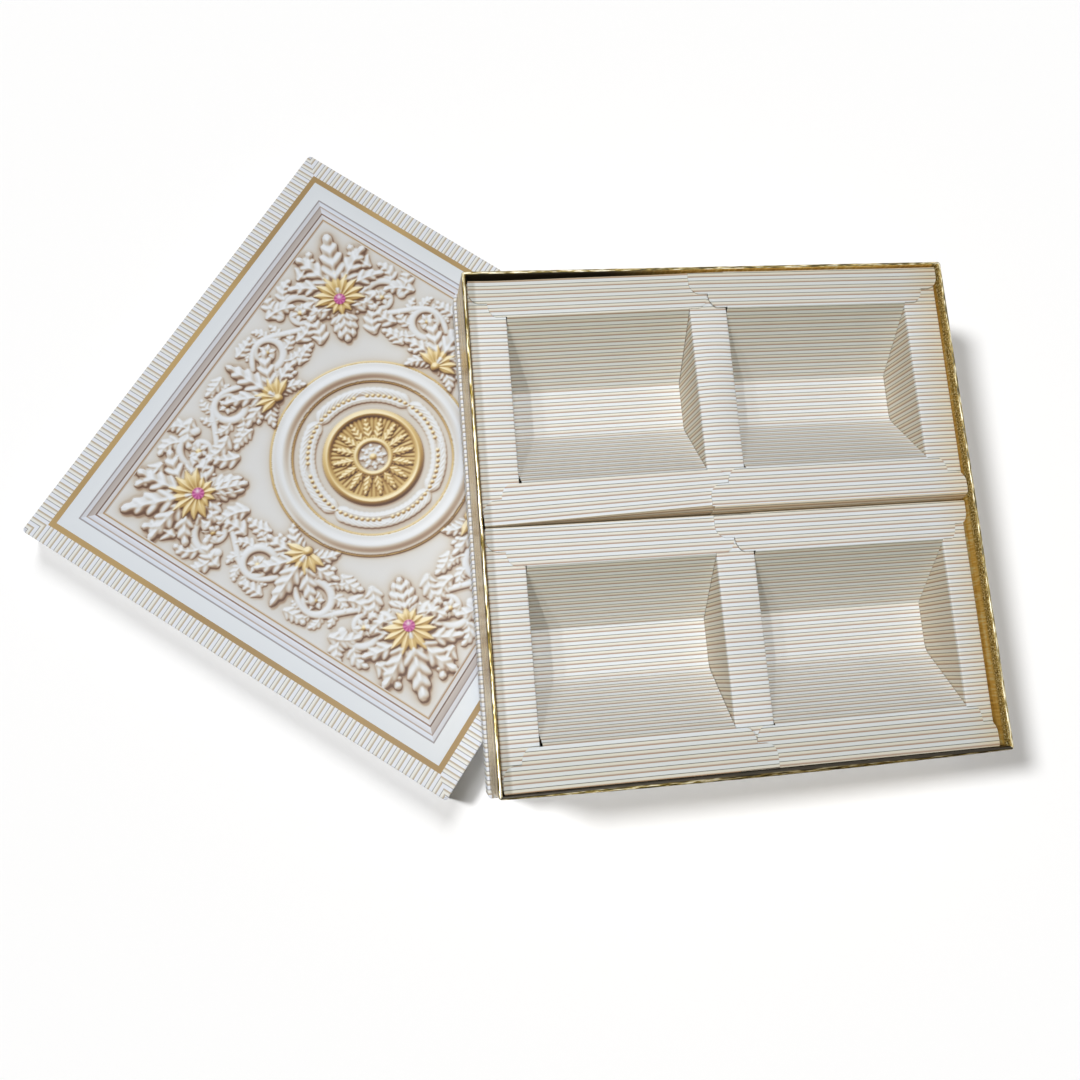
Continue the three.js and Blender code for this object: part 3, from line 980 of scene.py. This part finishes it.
# %% Crinkled foil ring
FOIL = 0.3
NECK_CORNER, INNER_CORNER = 1.6, 0.5
RIM_ROUND = 0.85
FOIL_SIDE_STEPS = 260
LEFT_FLARE, FRONT_BOW, FLARE_FOOT = 1.6, 1.4, 0.15
foil_low, foil_high = base.span("neck_foil")
half_neck, foil_foot = foil_high[0], foil_low[2]
board_low, board_high = base.span("neck_left")
inner_neck = half_neck - (board_high[0] - board_low[0]) - 2 * (half_neck + board_low[0])
heights = [foil_foot, *(shoulder + up for up in (0.1, 0.2, 8))]
heights += [rim_height - down for down in (16, 9, 5, 3, 1.8)]
outer_edge = rounded_edge(half_neck, rim_height, RIM_ROUND, NECK_CORNER)
foil_section = [(half_neck, NECK_CORNER, z) for z in heights] + outer_edge
foil_section += [(inner_neck + half_neck - h, INNER_CORNER, z) for h, _, z in outer_edge[::-1]]
foil_section += [(inner_neck, INNER_CORNER, z) for z in heights[::-1]]
under_rim = rim_height - 2 * FOIL
hidden = [(inner_neck + FOIL, INNER_CORNER, z) for z in (foil_foot, under_rim)]
hidden += [(half_neck - FOIL, NECK_CORNER - FOIL, z) for z in (under_rim, foil_foot)]
foil_section += hidden


def loosened(points):
    """The foil stands off the board above the ledge on the left, and its rim bows to the front."""
    x, y, z = np.moveaxis(points, -1, 0)
    rise = np.clip((z - shoulder) / (rim_height - shoulder), 0, 1)
    x -= LEFT_FLARE * (1 - rise) * (x < -RIM_MIDDLE) * (z > shoulder + FLARE_FOOT)
    y -= FRONT_BOW * (1 - (x / half_neck) ** 2).clip(0) * rise * (y < -RIM_MIDDLE)


foil_mesh = ring_mesh("neck_gold_foil", foil_section, base, gold_foil, FOIL_SIDE_STEPS, reshape=loosened)
around = len(foil_mesh.vertices) // len(foil_section)
section_half, _, section_height = np.array(foil_section).T
rim_share = np.interp(section_height, (rim_height - RIM_REACH, rim_height), (0, 1))
loose = np.interp(section_height, (rim_height - 6, rim_height - 1), (0.15, 1))
for values in (rim_share, loose):
    values[-len(hidden):] = 0
inside = section_half < (half_neck + inner_neck) / 2
for label, values in {"rim_share": rim_share, "loose": loose, "inside": inside}.items():
    set_values(foil_mesh, label, np.repeat(values, around))

crinkle_tree, wire, given, crinkle_keys = node_tree(
    "crinkled_foil",
    {
        "Crinkle": "NodeSocketFloat", "Waves per metre": "NodeSocketFloat", "Seed": "NodeSocketFloat",
        "Finish": "NodeSocketMaterial",
    },
)
crinkles = wire.node(
    "ShaderNodeTexNoise",
    {"noise_dimensions": "4D"},
    {"W": given["Seed"], "Scale": given["Waves per metre"], "Detail": 2.0},
)
share = wire.node("GeometryNodeInputNamedAttribute", {"data_type": "FLOAT"}, {"Name": "loose"})
push = (crinkles - 0.5) * 2 * given["Crinkle"] * share
outward = wire.node("GeometryNodeInputNormal")
shift = wire.node("ShaderNodeVectorMath", {"operation": "SCALE"}, {0: outward, "Scale": push})
moved = wire.node("GeometryNodeSetPosition", None, {"Geometry": given["Geometry"], "Offset": shift})
end_tree(wire, moved, given["Finish"])
foil_values = {"Crinkle": 0.00018, "Waves per metre": 150.0, "Seed": 4.0, "Finish": gold_foil}
foil_mesh = grown_mesh("neck_gold_foil", foil_mesh, crinkle_tree, crinkle_keys, foil_values)
neck = finished_piece("neck_gold_foil", foil_mesh, "base", ["neck_foil"], crease=60)
print("foil:", len(neck.data.polygons), "faces, inner half width", round(inner_neck, 2), "mm")

# %% [markdown]
# ## Lid
# The lid's cover paper is printed: a striped border that runs over the edge and down the walls, a gold
# line, a cool white margin, a printed moulding and a square field with raised ornament in ivory and gold.
# The border is a ring like the base's cover, and the rest is a fine flat sheet that can carry a painted
# design.

# %% Lid border
LID_EDGE, LID_LIP, PRINT_CORNER = 0.9, 1.0, 0.9
lid_low, lid_high = lid.span("lid_wrap")
lid_half, lid_top = lid_high[0], lid_high[2]
print_half = lid_half - LID_LIP
border_section = cover_section(lid_low, lid_high, LID_EDGE, LID_LIP, PRINT_CORNER, LID_EDGE)
lid_border = make_cover(
    "lid_border_paper", border_section, lid, band_paper, "lid", "lid_wrap",
)
print("lid border:", len(lid_border.data.polygons), "faces")

# %% [markdown]
# ## Ornament
# The field is painted as if it were carved plaster: a height map is built up from fluted leaves, stems
# and beads, lit from one side, and toned from brown hollows to ivory tops. The design is a plain
# traditional one: a gold flower in a fluted dish, a laurel wreath, a round moulding, scrolls along the
# sides and a spray of leaves with a pink stone in each corner. An eighth is drawn and mirrored, and the
# light breaks the symmetry.

# %% A height map drawn with rounded strokes
FIELD = 105.6
PIXEL = 0.24


class Relief:
    """A quarter of the raised ornament, in millimetres from the lid's middle."""

    def __init__(self):
        count = int(FIELD / PIXEL)
        self.axis = (np.arange(count) + 0.5) * PIXEL
        self.height = np.zeros((count, count))
        self.gilt = np.zeros((count, count))

    def window(self, middle, reach):
        low, high = (int(np.clip((middle + s * reach) / PIXEL, 0, len(self.axis))) for s in (-1, 1))
        return slice(low, high)

    def raise_to(self, x, y, reach, shape, gilt):
        """Raises the ground round a point, and round its mirror image in the diagonal, to a shape."""
        for across, up, swap in ((x, y, False), (y, x, True)):
            columns, rows = self.window(across, reach), self.window(up, reach)
            dx, dy = np.meshgrid(self.axis[columns] - across, self.axis[rows] - up)
            new = shape(dy, dx) if swap else shape(dx, dy)
            here = rows, columns
            self.gilt[here] = np.where(new > self.height[here], gilt, self.gilt[here])
            self.height[here] = np.maximum(self.height[here], new)

    def bead(self, x, y, radius, lift=1.0, gilt=0.0):
        def dome(dx, dy):
            return lift * np.sqrt(np.clip(radius**2 - dx**2 - dy**2, 0, None))

        self.raise_to(x, y, radius + PIXEL, dome, gilt)

    def stem(self, xs, ys, radii, lift):
        for spot in zip(xs, ys, radii):
            self.bead(*spot, lift)

    def leaf(self, x, y, angle, length, width, bend=0.0, lobes=4, lift=0.8, gilt=0.0, raised=0.0):
        """A fluted leaf on an arc: soft lobes sweep forward to its edge and a rib runs along its middle."""
        side = 1 if bend >= 0 else -1
        radius = length / max(abs(bend), 0.02)

        def shape(dx, dy):
            ahead = dx * math.cos(angle) + dy * math.sin(angle)
            aside = side * (dy * math.cos(angle) - dx * math.sin(angle))
            share = np.clip(np.arctan2(ahead, radius - aside) * radius / length, 0, 1)
            across = np.abs(radius - np.hypot(ahead, radius - aside))
            flute = 0.5 - 0.5 * np.cos(2 * math.pi * lobes * (share - 0.2 * across / width))
            half = width * (0.14 + 0.86 * np.sin(math.pi * share**0.75) ** 0.85) * (0.74 + 0.26 * flute)
            dome = np.sqrt(np.clip(1 - (across / half) ** 2, 0, 1)) * (share > 0) * (share < 1)
            rib = 0.4 * np.exp(-((across / (0.14 * width)) ** 2)) * (1 - 0.6 * share)
            body = dome * (0.62 + 0.38 * flute) * (0.75 + 0.45 * share) + rib
            return (raised + lift * width * body) * (dome > 0)

        self.raise_to(x, y, length * 1.05 + width, shape, gilt)


relief = Relief()
print("relief map", relief.height.shape)

# %% Stems, leaves and corner fans
STRAY_LEAVES = [
    (36, 98, -0.1, 19, -0.9), (34, 76, -0.5, 19, 1.3), (62, 74, 0.9, 18, -1.4), (66, 97, -0.1, 20, 0.7),
    (7, 99, -0.2, 15, 0.5), (5, 76, -0.2, 16, -1.3), (40, 63, 0.5, 19, 1.0), (23, 66, 0.5, 16, -0.9),
]


def on_circle(angle, reach, x=0.0, y=0.0):
    return x + reach * np.cos(angle), y + reach * np.sin(angle)


def flower(x, y, size):
    for k in range(6):
        relief.leaf(x, y, math.pi * k / 3 + 0.3, size, 0.34 * size, 0.3, 1, 0.9, 0, 0.8)
    relief.bead(x, y, 0.3 * size, 2.6, 1.0)


def scroll(x, y, radius, start, way, size):
    """A stem rolled into a spiral, with leaves springing from its back and a flower in its eye."""
    for k in range(7):
        sweep = 0.2 + 0.7 * k
        angle, reach = start + way * sweep, radius * (1 - 0.8 * sweep / (2.8 * math.pi))
        length = size * (1 - 0.07 * k)
        foot = on_circle(angle, reach, x, y)
        relief.leaf(*foot, angle + way * 0.35, length, 0.3 * length, way * 1.5, 4, 0.62)
    share = np.linspace(0, 1, 170)
    angle, reach = start + way * 2.8 * math.pi * share, radius * (1 - 0.8 * share)
    relief.stem(*on_circle(angle, reach, x, y), 2.7 * (1 - 0.5 * share), 1.15)
    flower(x, y, 0.5 * radius)


def winding_border():
    for x, y, angle, length, bend in STRAY_LEAVES:
        relief.leaf(x, y, angle, length, 0.3 * length, bend, 4, 0.7)
    xs = np.linspace(6, 70, 220)
    relief.stem(xs, 84 + 9.5 * np.cos((xs - 19) / 31 * math.pi), np.full(220, 1.9), 1.3)
    scroll(19, 86, 11.0, 3.9, 1, 15.0)
    scroll(50, 84, 12.0, 2.4, -1, 17.0)


def fan(x, y, heading, spread, size, bend):
    """Leaves in pairs about a heading, the outer ones first, so that the middle one lies on top."""
    for k in (3, 2, 1, 0):
        length, width, raised = size - 5.0 * k, 0.2 * size - 0.7 * k, 0.45 * (3 - k)
        for side in (-1, 1):
            angle = heading + side * spread * k
            relief.leaf(x, y, angle, length, width, side * bend * k, 5, 0.75, 0, raised)


def gold_petals(x, y, heading, count, spread, length, width, raised):
    for k in range(-count, count + 1):
        size = length - 0.5 * abs(k)
        relief.leaf(x, y, heading + spread * k, size, width, 0.13 * k, 1, 0.9, 1.0, raised)


winding_border()
fan(0, 66, math.pi / 2, 0.5, 35, 0.45)
gold_petals(0, 65, math.pi / 2, 3, 0.4, 14, 2.6, 4.0)
relief.bead(0, 65, 3.0, 3.0, 1.0)
for side in (-1, 1):
    for turn, length, width, bend in ((1.75, 22, 6.2, -1.2), (0.95, 24, 6.4, 1.5), (0.4, 23, 5.4, -0.5)):
        relief.leaf(68, 68, math.pi * 1.25 + side * turn, length, width, side * bend)
relief.leaf(68, 68, math.pi * 1.25, 25, 5.6, 0, 5, 0.9, 0, 1.2)
fan(71, 71, math.pi / 4, 0.42, 41, 0.4)
gold_petals(70, 70, math.pi / 4, 4, 0.36, 17, 3.0, 5.0)
gold_petals(70, 70, math.pi * 1.25, 2, 0.5, 10.5, 2.5, 5.0)
relief.bead(70, 70, 4.6, 2.2, 1.0)
print("share of the field that is raised:", round(float((relief.height > 0.1).mean()), 2))

# %% Round moulding, wreath and rosette
RING_INNER, RING_OUTER, RING_LINE = 46.0, 57.0, 1.2
WREATH, WREATH_SPRIGS = 36.8, 9
DISH_INNER, DISH_OUTER, DISH_FLUTES = 11.0, 23.6, 28
radius_map = np.hypot(relief.axis[None, :], relief.axis[:, None])
angle_map = np.arctan2(relief.axis[:, None], relief.axis[None, :])


def turned(inner, outer, foot, rise, groove, gilt):
    """A ring turned about the middle: a rounded rise from a foot, with a groove on either side."""
    share = (radius_map - inner) / (outer - inner)
    inside = (share >= 0) & (share <= 1)
    wave = math.pi * share[inside]
    relief.height[inside] = foot + rise * np.sin(wave) - groove * np.sin(3 * wave)
    relief.gilt[inside] = gilt


def ring_of_leaves(count, radius, length, width, lobes, gilt, raised):
    for k in range(count):
        angle = math.pi * 2 * k / count
        relief.leaf(*on_circle(angle, radius), angle, length, width, 0, lobes, 0.9, gilt, raised)


turned(0, RING_OUTER + RING_LINE, 0, 0, 0, 0)
turned(RING_OUTER, RING_OUTER + RING_LINE, 0, 1.2, 0, 1)
turned(RING_INNER, RING_OUTER, 2.0, 2.6, 0.9, 0)
turned(RING_INNER - RING_LINE, RING_INNER, 0, 1.2, 0, 1)
for k in range(WREATH_SPRIGS):
    angle = math.pi / 4 * (k - 0.2) / WREATH_SPRIGS
    foot = on_circle(angle, WREATH)
    for side in (-1, 1):
        relief.leaf(*foot, angle + math.pi / 2 + side * 0.6, 10.5, 2.5, -side * 0.6, 1)
    relief.bead(*foot, 1.2, 2.8, 1.0)
turned(DISH_OUTER, DISH_OUTER + 5, 1.2, 2.6, 0.6, 1)
turned(DISH_INNER, DISH_OUTER, 0.4, 0, 0, 1)
dish = (radius_map > DISH_INNER) & (radius_map < DISH_OUTER)
relief.height[dish] += 0.9 * np.abs(np.sin(DISH_FLUTES * angle_map[dish]))
ring_of_leaves(16, 8.0, 15, 2.6, 5, 1.0, 1.0)
turned(8.4, 11.4, 2.4, 1.8, 0, 1)
turned(0, 8.4, 1.2, 0, 0, 0)
ring_of_leaves(8, 0.0, 7.8, 2.3, 3, 0.0, 1.0)
relief.bead(0, 0, 2.4, 2.2, 1.0)
print("highest point of the relief:", round(float(relief.height.max()), 2), "mm")

# %% [markdown]
# ## Light and tone for the ornament
# A print of carved plaster already holds its light and shade. The mirrored map is lit from one side. Its
# hollows are found by comparing it with blurred copies of itself, and cast shade by comparing it with a
# copy moved away from the light. Together they choose a tone on an ivory scale or a gold one, and the
# pink stones are drawn last.

# %% Tones from height
LIGHT = np.array((-0.62, 0.42, 0.66))
IVORY_TONES = [
    (0.0, (98, 72, 56)), (0.2, (140, 114, 94)), (0.4, (175, 157, 138)),
    (0.6, (201, 196, 188)), (0.8, (215, 218, 221)), (1.0, (228, 232, 237)),
]
GOLD_TONES = [
    (0.0, (64, 38, 18)), (0.25, (112, 78, 38)), (0.5, (164, 130, 74)),
    (0.75, (204, 178, 120)), (1.0, (240, 228, 192)),
]
GEMS = [(sx * 70, sy * 70, 3.6) for sx in (-1, 1) for sy in (-1, 1)]


def mirrored(quarter):
    half = np.concatenate([quarter[:, ::-1], quarter], 1)
    return np.concatenate([half[::-1], half], 0)


def blurred(image, reach):
    for axis in (0, 1, 0, 1):
        width = 2 * reach + 1
        pad = [(width, width - 1) if a == axis else (0, 0) for a in (0, 1)]
        total = np.cumsum(np.pad(image, pad, "edge"), axis)
        size = image.shape[axis]
        upper = np.take(total, np.arange(size) + width + reach, axis)
        lower = np.take(total, np.arange(size) + width - reach - 1, axis)
        image = (upper - lower) / width
    return image


def toned(level, tones):
    places = [place for place, _ in tones]
    return np.stack([np.interp(level, places, [c[k] for _, c in tones]) for k in range(3)], -1)


def light_level(height):
    """How light each spot of the carving is, from its slope, its hollows and the shade cast on it."""
    slope_y, slope_x = np.gradient(blurred(height, 1), PIXEL)
    normal = np.stack([-slope_x, -slope_y, np.full_like(slope_x, 1.1)], -1)
    normal /= np.linalg.norm(normal, axis=2, keepdims=True)
    light = LIGHT / np.linalg.norm(LIGHT)
    hollow = sum(np.clip(blurred(height, reach) - height, -0.5, 1.8) for reach in (5, 16))
    cast = np.clip(np.roll(blurred(height, 3), (-5, 7), (0, 1)) - height - 0.4, 0, 2.5)
    return np.clip(0.75 + 0.55 * (normal @ light - light[2]) - 0.11 * hollow - 0.09 * cast, 0, 1)


def paint_field():
    gilt = blurred(mirrored(relief.gilt), 1)[..., None]
    level = light_level(mirrored(relief.height))
    ivory, gold = toned(level, IVORY_TONES), toned(np.clip(level * 1.1 - 0.06, 0, 1), GOLD_TONES)
    paint = ivory + (gold - ivory) * gilt
    axis = (np.arange(len(level)) + 0.5) * PIXEL - FIELD
    for x, y, radius in GEMS:
        dx, dy = axis[None, :] - x, axis[:, None] - y
        reach = np.hypot(dx, dy) / radius
        facet = 0.5 + 0.5 * np.cos(8 * np.arctan2(dy, dx)) * np.clip(reach * 1.6, 0, 1)
        glint = np.exp(-(((dx + 0.3 * radius) ** 2 + (dy - 0.25 * radius) ** 2) / (0.35 * radius) ** 2))
        stone = np.stack([156 + 50 * facet, 56 + 62 * facet, 118 + 52 * facet], -1)
        stone = stone + (240 - stone) * (0.8 * glint)[..., None]
        share = np.clip((1 - reach) * radius / 0.4, 0, 1)[..., None]
        paint = paint + (stone - paint) * share
    return linear(np.clip(paint, 0, 255))


field_paint = paint_field()
print("painted field", field_paint.shape)

# %% [markdown]
# ## Printed sheet
# The painted field is carried by four fine flat sheets, one for each quarter, as a colour on each point.
# The border lines are crisper as formulas, so the finish mixes the two by the distance from the lid's
# edge: the stripes, the gold line, the margin and the moulding come from a ramp, and the middle from the
# points.

# %% Lid print finish
BAND, GOLD_LINE, MARGIN, MOULDING = 10.15, 3.2, 8.5, 10.5
MARGIN_TONES = colour(209, 215, 221), colour(218, 223, 228)
LINE_GOLD = colour(160, 134, 92), colour(184, 156, 106)
PRINT_REACH = BAND + GOLD_LINE + MARGIN + MOULDING
MOULDING_LINES = [
    (0.0, (152, 148, 150), (150, 144, 146)), (0.6, (152, 148, 150), (150, 144, 146)),
    (0.8, (208, 214, 226), (200, 202, 208)), (2.7, (216, 222, 232), (206, 208, 216)),
    (2.9, (172, 158, 148), (150, 138, 132)), (3.4, (172, 158, 148), (150, 138, 132)),
    (3.6, (204, 206, 214), (172, 164, 160)), (6.1, (218, 222, 232), (186, 178, 174)),
    (6.3, (134, 108, 92), (112, 92, 82)), (6.9, (134, 108, 92), (112, 92, 82)),
    (7.1, (214, 216, 222), (206, 206, 210)), (9.0, (208, 208, 210), (200, 198, 198)),
    (9.2, (172, 146, 110), (156, 130, 102)), (9.8, (172, 146, 110), (156, 130, 102)),
    (10.0, (204, 198, 190), (190, 182, 174)), (10.5, (204, 198, 190), (190, 182, 174)),
]


def moulding_stops(shaded):
    """Lines across the printed moulding, from the margin inwards; two sides of it lie in shade."""
    start = PRINT_REACH - MOULDING
    stops = list(zip((0.0, (start - 0.2) / PRINT_REACH), MARGIN_TONES))
    for place, lit, dim in MOULDING_LINES:
        stops.append(((start + place) / PRINT_REACH, colour(*(dim if shaded else lit))))
    return stops


def lid_colours(wire):
    side, _, across = mitred(wire, lid)
    edge = lid_half - abs(across)
    lit, shaded = (ramped(wire, edge / PRINT_REACH, moulding_stops(s)) for s in (False, True))
    painted = wire.node("ShaderNodeAttribute", {"attribute_name": "field_paint"}, None, "Color")
    inside = mixed(wire, edge > PRINT_REACH, mixed(wire, side, lit, shaded), painted)
    gold = mixed(wire, soft_step(wire, cloudy(wire, 9.0, 2.0), 0.35, 0.65), *LINE_GOLD)
    lined = mixed(wire, edge > BAND + GOLD_LINE, gold, inside)
    return mixed(wire, edge > BAND, band_print(wire), lined)


lid_print = paper_finish("lid_print", lid_colours, 0.47, 700.0, 0.05, (40.0, 0.02), (30.0, 0.14), 0.25)
print("lid print:", lid_print.name)

# %% Four fine sheets
FIELD_CELLS = 250
CORNER_CUT = 0.26
border_lines = np.linspace(FIELD, print_half - PRINT_CORNER, 8)[1:]
quarter_axis = np.concatenate([np.linspace(0, FIELD, FIELD_CELLS + 1), border_lines, [print_half]])


def sampled(x, y):
    """Colour of the painted field at points, between its pixels."""
    place = [np.clip((c + FIELD) / PIXEL - 0.5, 0, len(field_paint) - 1.001) for c in (x, y)]
    (i, a), (j, b) = [(p.astype(int), (p % 1)[..., None]) for p in place]
    low = field_paint[j, i] * (1 - a) + field_paint[j, i + 1] * a
    high = field_paint[j + 1, i] * (1 - a) + field_paint[j + 1, i + 1] * a
    return low * (1 - b) + high * b


def print_quarter(name, sign_x, sign_y):
    x, y = np.meshgrid(quarter_axis * sign_x, quarter_axis * sign_y)
    paint = sampled(x, y).reshape(-1, 3)
    x[-1, -1] -= sign_x * CORNER_CUT
    y[-1, -1] -= sign_y * CORNER_CUT
    count = len(quarter_axis)
    top = np.stack([x, y, np.full_like(x, lid_top)], -1).reshape(-1, 3)
    faces, loop = grid_faces(count, count)
    below = top[loop] - (0, 0, WRAP)
    under = np.arange(len(loop)) + count * count
    faces = np.concatenate([faces, rim_faces(loop, under)]).tolist() + [under[::-1].tolist()]
    if sign_x * sign_y < 0:
        faces = [face[::-1] for face in faces]
    mesh = mesh_from(name, np.concatenate([top, below]), faces, lid, lid_print)
    layer = mesh.attributes.new("field_paint", "FLOAT_COLOR", "POINT")
    rgba = np.ones((len(mesh.vertices), 4), np.float32)
    rgba[: len(paint), :3] = paint
    rgba[len(paint):, :3] = paint[loop]
    layer.data.foreach_set("color", rgba.ravel())
    return finished_piece(name, mesh, "lid", ["lid_wrap"])


quarters = {"back_right": (1, 1), "back_left": (-1, 1), "front_left": (-1, -1), "front_right": (1, -1)}
prints = [print_quarter("lid_print_" + place, *signs) for place, signs in quarters.items()]
print("print sheets:", {p.name: len(p.data.polygons) for p in prints})

# %% [markdown]
# ## Board and liners
# The boards inside the walls, the floor and the lid's panel are grey pulp board, and the bottom sheet and
# liners are plain white paper. Their solids are right already, so they stay and only get a finish.

# %% Finishes for the carried-over solids
def pulp(wire):
    stops = [(0.3, colour(150, 138, 122)), (0.6, colour(182, 170, 152)), (0.8, colour(200, 190, 174))]
    return ramped(wire, cloudy(wire, 420.0, 5.0), stops)


def plain_white(wire):
    return mixed(wire, cloudy(wire, 24.0, 4.0), colour(226, 224, 218), colour(242, 241, 237))


greyboard = paper_finish("greyboard", pulp, 0.9, 900.0)
white_paper = paper_finish("white_paper", plain_white, 0.75, 1200.0)
board_slots = {part["node"]: part["material_slot"] for part in frame["record"]["subparts"]}
dressed = []
for name, node in frame["nodes"].items():
    if not node.hide_render:
        node.data.materials.clear()
        node.data.materials.append({"greyboard": greyboard, "white_paper": white_paper}[board_slots[name]])
        dressed.append(name)
print("carried over:", dressed)
